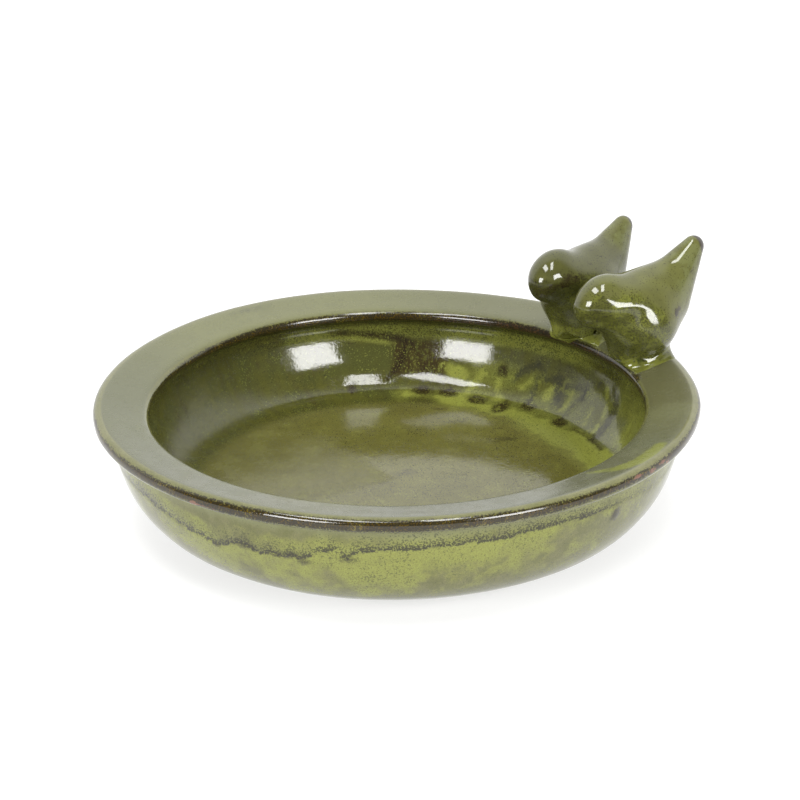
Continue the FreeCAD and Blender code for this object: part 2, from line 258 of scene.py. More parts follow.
# worn brown smears on the floor
cx, cy = P0[..., 0], P0[..., 1]
smear = np.hypot((cx - 31.0) / 5.6, (cy - 67.5) / 1.5)
smear = np.minimum(smear, np.hypot((cx - 52.0) / 7.0, (cy - 45.0) / 3.0))
smear = np.minimum(smear, np.hypot((cx - 4.0) / 5.0, (cy - 7.0) / 2.6))
smear = np.minimum(smear, np.hypot((cx - 22.0) / 4.0, (cy - 84.0) / 1.4))
smear = np.where(S > 45.0, smooth(1.5, 0.4, smear + 1.3 * (small - 0.5)), 0.0)

# --- the drip line on the outside
line = around([(0, 43.5), (12, 41), (24, 45), (37, 40), (48, 44.5), (60, 42), (72, 45), (86, 39), (95, 43.5), (110, 41), (123, 45), (135, 40.5), (148, 44), (161, 41.5), (172, 44.5),
               (184, 40.5), (196, 44), (207.9, 42.3), (217.3, 41.0), (224.0, 37.6), (229.3, 36.8), (233.6, 34.2), (236.5, 38.0), (239.8, 39.2), (243.3, 35.6), (245.5, 38.2), (248.0, 36.6),
               (249.8, 38.8), (251.7, 36.2), (253.6, 40.0), (255.5, 42.5), (258.2, 43.4), (260.3, 39.2), (262.0, 42.5), (263.6, 43.7), (266.7, 44.2), (271.4, 44.6), (278.5, 45.5), (283.4, 46.2),
               (289.4, 45.6), (294.2, 46.3), (297.1, 47.1), (301.5, 46.5), (306.7, 46.0), (311.4, 45.4), (320.5, 45.0), (332, 42.0), (346, 45.0)])
line = line + 2.2 * (fbm(np.stack([np.cos(T) * 26.0, np.sin(T) * 26.0, 0 * T], -1), 41, 2) - 0.5) * smooth(0.0, 1.0, np.abs(turned(D - 263.0)) / 70.0)
drip = np.where(S < -33.0, Z - line, 30.0)
tear = np.minimum(stroke([(315.4, -48.6, 0.9), (316.0, -52.0, 2.5), (316.1, -53.2, 2.8)]), spot(232.9, -59.2, 1.5, 1.2))
for t, z, a, b in [(239.6, 38.6, 2.4, 1.1), (246.6, 37.4, 2.2, 1.0), (249.9, 38.4, 3.0, 1.2), (252.2, 36.0, 2.4, 1.2), (261.0, 39.2, 2.6, 1.0)]:
    tear = np.minimum(tear, np.where(S < -40.0, (np.hypot(np.radians(turned(D - t)) * R / a, (Z - z) / b) - 1.0) * b, 30.0))
tear = np.where(S < -40.0, tear, 30.0)
below = smooth(0.6, -0.4, drip)
# brightest just under the line on the camera's side, broken into olive round the right
glow = 0.56 + 0.40 * window(255.0, 30.0, 22.0)
lime_out = below * np.clip(glow * np.exp(np.minimum(drip, 0) / 24.0) + 1.15 * (mid - 0.5) + 0.7 * (big - 0.5) + 0.9 * (small - 0.5), 0, 1) * smooth(8.0, 20.0, Z)
lime_out = np.maximum(lime_out, (1 - below) * np.clip(0.58 + 1.2 * (mid - 0.5), 0, 1) * smooth(13.0, 8.0, drip))
lime = np.where(S < -33.0, lime_out * on_outside, lime)

# --- brown breaks where the glaze runs thin: outer edge and inner lip
edge_half = around([(0, 2.4), (20, 2.2), (90, 2.4), (160, 2.2), (195, 1.9), (215, 2.2), (240, 2.8), (270, 3.0), (290, 2.6), (305, 1.9), (325, 1.8), (345, 2.0)])
outer_break = edge_half - 0.3 + 0.9 * (small - 0.5) - np.abs(S + 28.9)
lip_half = around([(0, 2.6), (15, 3.4), (30, 3.2), (60, 3.5), (90, 3.6), (120, 3.4), (150, 2.6), (180, 1.9), (215, 1.6), (270, 1.5), (320, 1.6)])
lip_break = lip_half + 0.8 * (small - 0.5) - np.abs(S - 0.9)
brk = np.maximum(outer_break, lip_break)
brk = np.maximum(brk, -spot(12.0, -2.5, 5.2, 2.8) - 0.2)
# red-brown tone of the break on the birds' side of the lip, and of the edge at the right
reddish = np.maximum(window(52.0, 22.0, 10.0) * smooth(-6.0, -4.0, S) * smooth(8.0, 5.0, S), 0.45 * window(322.0, 9.0, 7.0) * smooth(-20.0, -26.0, S))
# bare body showing on the edge
rust = np.maximum(smooth(0.6, -0.6, spot(231.8, -30.9, 1.9, 1.2)), 0.8 * smooth(0.4, -0.5, stroke([(232.5, -31.0, 0.5), (241.0, -31.3, 0.3)])) * smooth(0.45, 0.6, small))
for t, s, a, b in [(317.5, -28.4, 3.2, 0.9), (322.0, -29.4, 2.6, 1.1), (325.5, -28.6, 2.8, 0.9), (327.4, -30.2, 1.8, 0.8)]:
    rust = np.maximum(rust, 0.75 * smooth(0.7, -0.4, spot(t, s, a, b)))
plum = smooth(1.0, -0.6, stroke([(233.0, -31.2, 0.9), (241.5, -31.4, 0.7)]))

# --- tones of the rim
yellow = on_rim * np.clip(0.85 * window(148.0, 40.0, 45.0) + 0.35 * smooth(-11.0, -5.0, S) * window(185.0, 60.0, 40.0) + 0.6 * (big - 0.5), 0, 1)
# lime run over the rim at the right
over = on_rim * smooth(3.5, -2.5, stroke([(313.0, -8.0, 1.5), (317.0, -16.0, 3.6), (322.0, -21.5, 4.0), (331.0, -20.0, 2.6)]) + 6.0 * (mid - 0.5))
shade = on_rim * np.clip(window(8.0, 9.0, 9.0) * 0.9 + 0.5 * window(350.0, 10.0, 14.0) + 0.25 * window(52.0, 6.0, 8.0) + 0.5 * (mid - 0.5), 0, 1)
smudge = smooth(2.5, -1.5, spot(124.3, -19.5, 6.5, 1.6) + 2.0 * (small - 0.5)) * 0.55
smudge = np.maximum(smudge, 0.5 * smooth(1.5, -1.0, stroke([(300.0, -12.0, 0.2), (312.0, -14.5, 0.7), (322.0, -13.0, 0.3)]) + 1.6 * (small - 0.5)))

# --- how thickly the dark specks lie
speck = np.where(S > 0, 0.32 + 0.3 * (mid - 0.5), 0.03)
speck = np.where(S > 0, speck + 0.22 * smooth(20.0, 12.0, S) - 0.3 * panel + 0.1 * smooth(50.0, 62.0, S), speck)
speck = np.where(S < -33.0, np.where(drip > 0, 0.36 + (0.60 - 0.34 * window(334.0, 14.0, 14.0)) * np.exp(-np.maximum(drip, 0) / 3.4) - 0.32 * smooth(6.0, 12.0, drip), 0.32 + 0.5 * (mid - 0.5)), speck)
speck = np.maximum(speck, 0.85 * np.exp(-np.maximum(-brk, 0) / 1.0) * np.where(S < -33.0, 0.7, 1.0))
# sage tone: the rim top, and the wall just under the rim
sage = np.maximum(on_rim, np.where(S < -33.0, 0.72 * smooth(45.0, 53.5, Z + 6.0 * (mid - 0.5)) * on_outside, 0.0))
pale = np.where(S < -33.0, smooth(26.0, 9.0, Z), 0.0)
clay = smooth(3.2, 1.4, Z + 1.2 * (small - 0.5)) * smooth(-140.0, -136.0, S) * smooth(-118.0, -122.0, S)

# --- shape: the warp of the rim, thick drips and blobs, a soft unevenness
warp = around([(8, 0.0), (58, 0.0), (67, -0.55), (81, -0.55), (98, 0.0), (117, 0.6), (126, 0.8), (136, 0.6), (147, 0.0), (167, -0.4), (183, 0.0), (198, 0.3), (215, 0.0), (340, 0.0), (353.5, 0.45)])
lift = smooth(18.0, 56.0, Z)
relief = 0.10 * smooth(1.5, -1.5, np.minimum(dark, grey)) + 0.2 * below * smooth(-7.0, -0.5, drip) * on_outside + 0.3 * smooth(0.6, -1.0, tear) + 0.1 * (mid - 0.5) + 0.22 * (big - 0.5) - 0.08 * smooth(-0.5, 1.0, brk)
relief = relief * smooth(0.5, 5.0, Z)
R2 = R + NRM_R * relief + lift * warp * np.cos(T) ** 2
Z2 = Z + NRM_Z * relief + lift * warp * np.sin(T) ** 2
X, Y = R2 * np.cos(T), R2 * np.sin(T)

verts = np.stack([X, Y, Z2], -1).reshape(-1, 3)
faces = []
for j in range(NR - 1):
    a, b = j * SEG, (j + 1) * SEG
    for i in range(SEG):
        k = (i + 1) % SEG
        faces.append((a + i, a + k, b + k, b + i))
bottom, top = len(verts), len(verts) + 1
verts = np.vstack([verts, [[0, 0, prof[0, 1]], [0, 0, Z2[-1].mean()]]])
for i in range(SEG):
    k = (i + 1) % SEG
    faces.append((bottom, k, i))
    faces.append((top, (NR - 1) * SEG + i, (NR - 1) * SEG + k))


def with_poles(f):
    f = np.asarray(f, float)
    return np.r_[f.ravel(), f[0].mean(), f[-1].mean()]


dish_fields = dict(dark=np.clip(np.minimum(dark, tear), -6, 12), cloud=cloud, lime=lime, panel=panel, grey_film_and_reflection=grey_film_and_reflection, drip=np.clip(drip, -40, 30), brk=np.clip(brk, -6, 6), reddish=reddish,
                   rust=rust, plum=plum, yellow=yellow, shade=shade, smudge=smudge, over=over, grey=np.clip(grey, -6, 12), smear=smear, under=smooth(-31.0, -35.0, S), far=smooth(-30.0, 60.0, P0[..., 1] + 0.5 * P0[..., 0]), speck=speck, sage=sage, pale=pale, clay=clay, west=0.6 * on_rim * window(190.0, 10.0, 46.0), satin=np.maximum(on_rim, window(170.0, 32.0, 22.0) * smooth(8.0, 14.0, S)), inside=on_wall, base=smooth(52.0, 62.0, S))
bowl = new_mesh("bowl_glazed", verts, faces, {k: with_poles(v) for k, v in dish_fields.items()})
# coordinates in which noise draws out into runs down the wall
att = bowl.data.attributes.new("streak", "FLOAT_VECTOR", "POINT")
att.data.foreach_set("vector", np.stack([with_poles(0.115 * np.cos(T)), with_poles(0.115 * np.sin(T)), with_poles(0.2 * S * MM)], -1).astype(np.float32).ravel())
print("dish rings", NR, "triangles", 2 * NR * SEG)


# ----------------------------------------------------------------- the birds
def smin(a, b, k):
    h = np.clip(0.5 + 0.5 * (b - a) / k, 0, 1)
    return b * (1 - h) + a * h - k * h * (1 - h)


def smax(a, b, k):
    return -smin(-a, -b, k)


def oval(p, centre, radii, tilt=0.0):
    q = p - np.array([centre[0], 0.0, centre[1]])
    if tilt:
        c, s = math.cos(tilt), math.sin(tilt)
        q = np.stack([c * q[..., 0] + s * q[..., 2], q[..., 1], -s * q[..., 0] + c * q[..., 2]], -1)
    r = np.array(radii, float)
    k0 = np.linalg.norm(q / r, axis=-1)
    k1 = np.linalg.norm(q / (r * r), axis=-1)
    return k0 * (k0 - 1) / np.maximum(k1, 1e-9)


def round_cone(p, a, b, ra, rb, narrow):
    q = np.stack([p[..., 0], p[..., 1] / narrow, p[..., 2]], -1)
    A, B = np.array([a[0], 0, a[1]]), np.array([b[0], 0, b[1]])
    ba = B - A
    l2 = ba @ ba
    rr = ra - rb
    a2 = l2 - rr * rr
    il2 = 1 / l2
    pa = q - A
    y = pa @ ba
    z = y - l2
    x2 = ((pa * l2 - ba * y[..., None]) ** 2).sum(-1)
    y2, z2 = y * y * l2, z * z * l2
    k = np.sign(rr) * rr * rr * x2
    d = (np.sqrt(x2 * a2 * il2) + y * rr) * il2 - ra
    d = np.where(np.sign(y) * a2 * y2 < k, np.sqrt(x2 + y2) * il2 - ra, d)
    d = np.where(np.sign(z) * a2 * z2 > k, np.sqrt(x2 + z2) * il2 - rb, d)
    return d * min(1.0, narrow)


BIRDS = {
    "front": dict(reach=128.57, angle=21.47, heading=28.97, pitch=4.02, lean=0.79, stand=61.0, stem=-3.5, vent=1.0, hang=0.0),
    "rear": dict(reach=122.6, angle=40.6, heading=45.85, pitch=-3.09, lean=-3.28, stand=59.85, stem=-2.8, vent=-1.0, hang=4.4),
}
SLOPE = math.radians(11.05)


def bird_axes(b):
    a, h, p, l = (math.radians(b[k]) for k in ("angle", "heading", "pitch", "lean"))
    rot = Matrix.Rotation(h, 3, "Z") @ Matrix.Rotation(-p, 3, "Y") @ Matrix.Rotation(l, 3, "X")
    at = np.array([b["reach"] * math.cos(a), b["reach"] * math.sin(a), b["stand"]])
    return np.array(rot), at


def bird_form(p, stem, vent):
    """Signed distance to the bird in its own frame: tail along +x, up +z."""
    body = oval(p, (-9.2, 24.66), (20.7, 12.86, 13.06), 0.64)
    head = oval(p, (-24.15, 33.9), (14.31, 10.18, 11.07), 0.53)
    tail = round_cone(p, (9.46, 25.29), (29.59, 47.49), 15.76, 5.65, 0.82)
    foot = round_cone(p, (stem, 0.0), (1.84, 7.51), 14.9, 10.61, 0.85)
    flank = oval(p, (-10.77, 31.57), (21.28, 14.75, 8.94), -0.03)
    belly = oval(p, (-2.68, 18.36), (18.01, 20.59, 17.42), 0.28)
    x = smin(body, head, 11.32)
    x = smin(x, tail, 13.2)
    x = smin(x, flank, 4.33)
    x = smin(x, belly, 6.07)
    x = smin(x, foot, 6.0)
    # hollow of the throat between the head and the foot
    x = smax(x, 10.2 - np.hypot(p[..., 0] + 31.0, p[..., 2] - 9.0), 6.0)
    # the foot ends in a soft flat underside
    x = smax(x, -(p[..., 2] + 2.6), 3.4)
    # small firing vent low in the side of the stem
    return smax(x, -vent_hole(p, stem, vent), 0.5)


def vent_hole(p, stem, vent):
    hole = np.hypot(p[..., 0] - (stem - 3.7), p[..., 2] - 3.6) - 1.2
    return np.maximum(hole, -p[..., 1] * vent + 7.5)


def flange(p):
    """Signed distance to the rim's flange, as a rounded slab swept round the axis."""
    r = np.hypot(p[..., 0], p[..., 1])
    c, s = math.cos(SLOPE), math.sin(SLOPE)
    x, z = r - 127.3, p[..., 2] - 57.6
    a, b = c * x + s * z, -s * x + c * z
    qx, qz = np.abs(a) - (12.8 - 3.0), np.abs(b) - (3.12 - 3.0)
    return np.hypot(np.maximum(qx, 0), np.maximum(qz, 0)) + np.minimum(np.maximum(qx, qz), 0) - 3.0


def over_basin(p, z):
    """Distance below a cone that passes height z at the inner lip and rises towards the axis."""
    return 0.89 * (z + 0.5 * (117.5 - np.hypot(p[..., 0], p[..., 1])) - p[..., 2])


def over_lip(p):
    """Where the rear pool runs over the lip: 1 on its far side, 0 elsewhere."""
    way_round = np.degrees(np.arctan2(p[..., 1], p[..., 0]))
    return smooth(38.5, 42.0, way_round) * smooth(51.5, 49.0, way_round)


def net(f, lo, hi, h):
    """Quad mesh of f = 0 inside a box, one vertex per crossed cell, pulled onto the surface."""
    lo, hi = np.array(lo, float), np.array(hi, float)
    n = np.ceil((hi - lo) / h).astype(int) + 1
    axes = [lo[k] + h * np.arange(n[k]) for k in range(3)]
    g = np.stack(np.meshgrid(*axes, indexing="ij"), -1)
    v = np.empty(g.shape[:3])
    for i in range(n[0]):
        v[i] = f(g[i])
    ins = v < 0
    acc = np.zeros(tuple(n - 1) + (3,))
    cnt = np.zeros(tuple(n - 1))
    sl = lambda d, m: slice(d, m - 1 + d)
    for ax in range(3):
        others = [k for k in range(3) if k != ax]
        i0 = [slice(None)] * 3
        i1 = [slice(None)] * 3
        i0[ax], i1[ax] = slice(0, n[ax] - 1), slice(1, n[ax])
        va, vb = v[tuple(i0)], v[tuple(i1)]
        cross = (va < 0) != (vb < 0)
        t = np.where(cross, va / np.where(cross, va - vb, 1), 0)
        pts = g[tuple(i0)] + t[..., None] * (g[tuple(i1)] - g[tuple(i0)])
        for da in (0, 1):
            for db in (0, 1):
                s = [slice(None)] * 3
                s[others[0]], s[others[1]] = sl(da, n[others[0]]), sl(db, n[others[1]])
                c = cross[tuple(s)]
                acc += np.where(c[..., None], pts[tuple(s)], 0)
                cnt += c
    used = cnt > 0
    ids = -np.ones(used.shape, int)
    ids[used] = np.arange(used.sum())
    pos = acc[used] / cnt[used][:, None]
    quads = []
    for ax in range(3):
        b, c = (ax + 1) % 3, (ax + 2) % 3
        i0 = [slice(None)] * 3
        i1 = [slice(None)] * 3
        i0[ax], i1[ax] = slice(0, n[ax] - 1), slice(1, n[ax])
        va, vb = ins[tuple(i0)], ins[tuple(i1)]
        where = np.argwhere(va != vb)
        where = where[(where[:, b] > 0) & (where[:, c] > 0) & (where[:, b] < n[b] - 1) & (where[:, c] < n[c] - 1)]
        out = va[tuple(where.T)]
        eb, ec = np.zeros(3, int), np.zeros(3, int)
        eb[b], ec[c] = 1, 1
        q = np.stack([ids[tuple((where - eb - ec).T)], ids[tuple((where - ec).T)], ids[tuple(where.T)], ids[tuple((where - eb).T)]], 1)
        q[~out] = q[~out][:, ::-1]
        quads.append(q)
    quads = np.vstack(quads)
    e = 0.05
    for _ in range(4):
        d = f(pos)
        gr = np.stack([(f(pos + np.eye(3)[k] * e) - f(pos - np.eye(3)[k] * e)) / (2 * e) for k in range(3)], 1)
        gg = np.maximum((gr**2).sum(1), 0.2)
        step = np.clip(d / gg, -h, h)
        pos = pos - step[:, None] * gr
    return pos, [tuple(int(k) for k in row) for row in quads]


def bird_fields(l, rim, which):
    """Glaze fields of a bird from its own frame: l local points, rim their height over the flange."""
    u, v, w = l[:, 0], l[:, 1], l[:, 2]
    seed = 61 if which == "front" else 83
    big_n, mid_n, small_n = fbm(l / 16.0, seed, 3), fbm(l / 6.5, seed + 1, 3), fbm(l / 2.6, seed + 2, 2)
    # upper limit of the dark speckled glaze, by place along the bird
    if which == "front":
        limit = np.interp(u, [-38, -33, -28, -18, -12, -6, -1, 2.5, 5, 7, 9], [33, 37, 41, 39, 37.5, 35, 29, 20, 9, -2, -12])
    else:
        limit = np.interp(u, [-38, -33, -27, -20, -10, 0, 5, 8, 12], [32.5, 33, 35, 36, 36, 31, 22, 10, -6])
    deep = smooth(5.5, -5.5, w - limit + 7.0 * (mid_n - 0.5) + 5.0 * (small_n - 0.5))
    # tail: lime mottling near the tip, a grey-brown break on the tip and its edges
    tip = smooth(14.0, 27.0, u) * smooth(31.0, 43.0, w)
    mottle = np.maximum(0.62 * tip * smooth(0.40, 0.62, mid_n + 0.5 * (small_n - 0.5)), 0.75 * smooth(6.0, 16.0, u) * smooth(0.46, 0.62, mid_n + 0.3 * (small_n - 0.5)))
    thin = smooth(27.2, 30.6, 0.94 * u + 0.2 * (w - 47.0) + 3.0 * (small_n - 0.5))
    # lime pools higher on the side over the basin
    inward = smooth(-0.2, 0.9, -(u - BIRDS[which]["stem"]) / np.hypot(u - BIRDS[which]["stem"], v))
    top = 3.4 + (4.0 if which == "front" else 8.5) * inward
    pool = smooth(2.6, -2.6, rim - top + 4.0 * (mid_n - 0.5))
    crown = smooth(37.0, 46.0, w) * smooth(-8.0, -22.0, u)
    blotch = np.zeros(len(u))

    def mark(cu, cw, r, depth):
        q = np.hypot(u - cu, w - cw)
        return depth * smooth(r + 2.2, r - 2.2, q + 6.0 * (small_n - 0.5)) * (v < 0)

    if which == "front":
        for m in ((9.7, 24.6, 2.2, 1.0), (12.8, 25.5, 1.4, 0.7), (7.6, 27.8, 1.1, 0.55), (11.0, 21.8, 1.2, 0.6)):
            blotch = np.maximum(blotch, mark(*m))
    else:
        for m in ((-32.0, 31.0, 3.0, 0.6), (-27.5, 32.5, 3.4, 0.75), (-23.0, 33.5, 3.2, 0.7), (-18.5, 34.0, 2.2, 0.5), (-35.0, 28.5, 4.4, 0.55)):
            blotch = np.maximum(blotch, mark(*m))
        # painted shade and painted dark reflection of the basin: the rear bird's chest is darkened further
        deep = np.clip(deep * 1.0 + 0.25 * smooth(30.0, 16.0, w), 0, 1.25)
    face = smooth(-13.0, -22.0, u)
    satin = smooth(0.0, 8.0 - 4.0 * face, 27.0 + 7.5 * face - w)
    # the rear bird is duller on the back and darker on the chest with painted shade; its foot is limier, the lime
    # raised further as painted light where the stem lies in shade
    if which == "front":
        dim, lift = 0.2 * smooth(-24.0, -31.0, u), np.zeros(len(u))
    else:
        dim = np.maximum(0.50 * smooth(32.0, 38.0, w) * smooth(20.0, 10.0, u), 0.75 * smooth(9.0, 4.0, np.hypot(u + 36.0, w - 28.5)))
        lift = smooth(10.0, 5.0, w) * (0.5 + 0.5 * smooth(-5.0, 3.0, v))
    return dict(deep=deep, mottle=mottle, thin=thin, pool=pool, crown=crown, blotch=blotch, satin=satin, dim=dim, lift=lift)


birds, collars = {}, {}
for which, b in BIRDS.items():
    rot, at = bird_axes(b)

    def here(p, rot=rot, at=at):
        return (p - at) @ rot

    def bird_world(p, here=here, b=b):
        d = bird_form(here(p), b["stem"], b["vent"])
        # the stem ends just inside the rim, and rises clear of it over the basin
        d = smax(d, over_basin(p, 58.9 - b["hang"] * over_lip(p)), 1.5)
        return np.maximum(d, -(flange(p) + 1.4))

    lo, hi = at + np.array([-46, -46, -8]), at + np.array([46, 46, 62])
    v, q = net(bird_world, lo, hi, 0.8)
    # the casting's slight unevenness under the glaze
    l = here(v)
    e = 0.05
    gr = np.stack([(bird_world(v + np.eye(3)[k] * e) - bird_world(v - np.eye(3)[k] * e)) / (2 * e) for k in range(3)], 1)
    gr /= np.maximum(np.linalg.norm(gr, axis=1), 1e-6)[:, None]
    v = v + gr * (0.16 * (fbm(l / 13.0, 19, 2) - 0.5) * smooth(1.0, 6.0, l[:, 2]))[:, None]
    birds[which] = new_mesh("bird_%s_glazed" % which, v, q, bird_fields(l, flange(v), which))

    def collar_world(p, here=here, b=b):
        l = here(p)
        bd = bird_form(l, b["stem"], 0.0 * b["vent"])
        fl = flange(p)
        ang = np.arctan2(l[..., 1], l[..., 0] - b["stem"])
        reach = 4.6 + 0.9 * np.sin(2 * ang + 1.0) + 0.6 * np.sin(5 * ang + 0.4)
        d = smin(bd, fl, 5.0) - 0.16
        d = smax(d, bd + fl - reach, 0.8)
        d = np.maximum(np.maximum(d, -(bd + 0.9)), -(fl + 0.9))
        d = smax(d, over_basin(p, 57.7 - b["hang"] * over_lip(p)), 0.8)
        return smax(d, -vent_hole(l, b["stem"], b["vent"]), 0.4)

    lo, hi = at + np.array([-30, -30, -12]), at + np.array([30, 30, 12])
    v, q = net(collar_world, lo, hi, 0.55)
    l = here(v)
    rise = flange(v)
    # lift: the rear collar's lime pool, lightened further as painted light where it lies in shade
    collars[which] = new_mesh("pooled_glaze_%s" % which, v, q, dict(rise=rise, lift=np.full(len(v), 0.0 if which == "front" else 1.0), deep=smooth(0.45, 0.62, fbm(l / 5.0, 29, 3)) * smooth(1.0, 3.5, rise)))


# ---------------------------------------------------------------- materials
class Glaze:
    """A glaze built from noise and the fields of the mesh."""

    def __init__(self, name):
        self.mat = bpy.data.materials.new(name)
        self.mat.use_nodes = True
        self.tree = self.mat.node_tree
        self.shader = self.tree.nodes["Principled BSDF"]
        self.co = self.tree.nodes.new("ShaderNodeTexCoord").outputs["Object"]

    def put(self, value, socket):
        if isinstance(value, (int, float)):
            socket.default_value = value
        elif isinstance(value, tuple):
            socket.default_value = (*value, 1.0)
        else:
            self.tree.links.new(value, socket)

    def field(self, key):
        n = self.tree.nodes.new("ShaderNodeAttribute")
        n.attribute_type = "GEOMETRY"
        n.attribute_name = key
        return n.outputs["Fac"]

    def vector(self, key):
        n = self.tree.nodes.new("ShaderNodeAttribute")
        n.attribute_type = "GEOMETRY"
        n.attribute_name = key
        return n.outputs["Vector"]

    def noise(self, lump_mm, detail=2.0, rough=0.55, seed=0.0, at=None):
        n = self.tree.nodes.new("ShaderNodeTexNoise")
        n.noise_dimensions = "4D"
        self.put(self.co if at is None else at, n.inputs["Vector"])
        n.inputs["W"].default_value = seed
        n.inputs["Scale"].default_value = 1000.0 / lump_mm
        n.inputs["Detail"].default_value = detail
        n.inputs["Roughness"].default_value = rough
        return n.outputs["Fac"]

    def do(self, op, a, b=0.0, c=0.0, clamp=False):
        n = self.tree.nodes.new("ShaderNodeMath")
        n.operation = op
        n.use_clamp = clamp
        for value, socket in zip((a, b, c), n.inputs):
            self.put(value, socket)
        return n.outputs[0]

    def add(self, a, b):
        return self.do("ADD", a, b)

    def mul(self, a, b):
        return self.do("MULTIPLY", a, b)

    def around_half(self, x, amount):
        """Noise x about its middle, times amount."""
        return self.do("MULTIPLY_ADD", x, amount, -0.5 * amount)

    def step(self, x, lo, hi, out=(0.0, 1.0)):
        n = self.tree.nodes.new("ShaderNodeMapRange")
        n.interpolation_type = "SMOOTHSTEP"
        self.put(x, n.inputs["Value"])
        n.inputs["From Min"].default_value = lo
        n.inputs["From Max"].default_value = hi
        n.inputs["To Min"].default_value = out[0]
        n.inputs["To Max"].default_value = out[1]
        return n.outputs["Result"]

    def mix(self, f, a, b):
        n = self.tree.nodes.new("ShaderNodeMix")
        n.data_type = "RGBA"
        self.put(f, n.inputs[0])
        self.put(a, n.inputs[6])
        self.put(b, n.inputs[7])
        return n.outputs[2]

    def bump(self, height, mm, under=None):
        n = self.tree.nodes.new("ShaderNodeBump")
        n.inputs["Strength"].default_value = 1.0
        n.inputs["Distance"].default_value = mm * MM
        self.put(height, n.inputs["Height"])
        if under is not None:
            self.put(under, n.inputs["Normal"])
        return n.outputs["Normal"]

    def specks(self, density, fine, coarse, soft=0.05):
        """Specks that cover more of the glaze where density is higher."""
        grain = self.add(fine, self.around_half(coarse, 0.42))
        level = self.do("MULTIPLY_ADD", density, -0.36, 0.735)
        return self.step(self.do("SUBTRACT", grain, level), -soft, soft)


# Colours of the glazes, as linear reflectance.
LIME = (0.194, 0.209, 0.039)
OLIVE = (0.066, 0.066, 0.0125)
BASE = (0.096, 0.090, 0.0240)
GREEN = (0.049, 0.052, 0.0125)
OUT_LIME = (0.190, 0.202, 0.040)
OUT_OLIVE = (0.102, 0.103, 0.0300)
SAGE = (0.077, 0.078, 0.042)
YELLOW_SAGE = (0.118, 0.121, 0.050)
GREY = (0.088, 0.089, 0.044)
PALE = (0.146, 0.148, 0.084)
BROWN = (0.050, 0.0300, 0.0030)
GOLD = (0.110, 0.077, 0.0070)
RED_BROWN = (0.060, 0.028, 0.0150)
SPECK = (0.0140, 0.0120, 0.0060)
DARK = (0.0190, 0.0130, 0.0050)
PLUM = (0.026, 0.018, 0.0190)
RUST = (0.170, 0.078, 0.050)
CLAY = (0.330, 0.215, 0.125)

g = Glaze("bowl_glaze")
n0, n1, n1b, n2, n3, n4 = g.noise(0.5, 1.0, 0.5, 7.7), g.noise(0.75, 1.5), g.noise(1.15, 2.0, 0.6, 3.1), g.noise(2.6, 3.0, 0.6, 1.3), g.noise(8.5, 3.0, 0.55, 5.7), g.noise(24.0, 3.0, 0.55, 9.2)
sv = g.vector("streak")
st1, st2 = g.noise(1.3, 3.0, 0.6, 2.2, sv), g.noise(4.2, 3.0, 0.6, 4.9, sv)
ins = g.field("inside")
lime_f = g.add(g.add(g.field("lime"), g.around_half(n3, 0.36)), g.add(g.mul(g.around_half(n2, 0.75), g.step(ins, 0.0, 1.0, (1.0, 0.56))), g.add(g.mul(g.around_half(n1b, 0.60), g.step(ins, 0.0, 1.0, (1.0, 0.5))), g.mul(ins, g.around_half(st2, 0.35)))))
wallc = g.mix(g.step(g.add(n3, g.around_half(st2, 0.8)), 0.32, 0.68), OLIVE, GREEN)
wallc = g.mix(g.step(g.add(st2, g.add(g.around_half(st1, 0.6), g.around_half(n1b, 0.5))), 0.50, 0.78, (0.0, 0.6)), wallc, (0.052, 0.043, 0.0105))
floorc = g.mix(g.step(g.add(g.mul(n3, 0.5), g.add(g.mul(n2, 0.35), g.mul(n1b, 0.35))), 0.42, 0.78), (0.098, 0.092, 0.0205), (0.124, 0.119, 0.0300))
wallc = g.mix(g.mul(g.field("base"), g.step(n4, 0.25, 0.6, (0.8, 1.0))), wallc, floorc)
outc = g.mix(g.step(g.add(n3, g.around_half(n2, 0.6)), 0.32, 0.68), OUT_OLIVE, (0.128, 0.126, 0.047))
outc = g.mix(g.step(g.add(g.field("pale"), g.around_half(n3, 0.4)), 0.05, 0.95), outc, PALE)
wallc = g.mix(ins, outc, wallc)
col = g.mix(g.step(lime_f, 0.18, 0.95), wallc, g.mix(ins, OUT_LIME, LIME))
col = g.mix(g.mul(g.field("panel"), g.step(st1, 0.3, 0.7, (0.6, 0.9))), col, GREEN)
# grey film of glaze, partly painted reflection on the low left wall
grey_film_and_reflection_f = g.field("grey_film_and_reflection")
col = g.mix(g.mul(grey_film_and_reflection_f, g.step(g.add(n3, g.around_half(st2, 0.9)), 0.25, 0.7, (0.2, 0.9))), col, GREY)
col = g.mix(g.mul(g.field("smear"), g.step(n2, 0.3, 0.6, (0.2, 0.75))), col, (0.040, 0.034, 0.0130))
rimc = g.mix(g.field("far"), g.mix(g.step(n4, 0.35, 0.65), SAGE, (0.072, 0.075, 0.043)), (0.106, 0.108, 0.050))
rimc = g.mix(g.field("yellow"), rimc, YELLOW_SAGE)
rimc = g.mix(g.field("west"), rimc, (0.044, 0.048, 0.016))
rimc = g.mix(g.step(g.add(n3, g.around_half(n1b, 0.9)), 0.42, 0.75, (0.0, 0.28)), rimc, (0.074, 0.077, 0.036))
rimc = g.mix(g.step(g.add(g.field("over"), g.around_half(n2, 0.6)), 0.25, 0.9, (0.0, 0.85)), rimc, (0.143, 0.155, 0.031))
rimc = g.mix(g.step(g.add(g.field("shade"), g.around_half(n2, 0.3)), 0.1, 1.0, (0.0, 0.62)), rimc, (0.058, 0.055, 0.0235))
rimc = g.mix(g.mul(g.field("smudge"), g.step(n2, 0.3, 0.6)), rimc, (0.052, 0.054, 0.034))
rimc = g.mix(ins, g.mix(g.field("under"), rimc, (0.142, 0.147, 0.062)), rimc)
col = g.mix(g.step(g.add(g.field("sage"), g.around_half(n2, 0.6)), 0.15, 0.85), col, rimc)
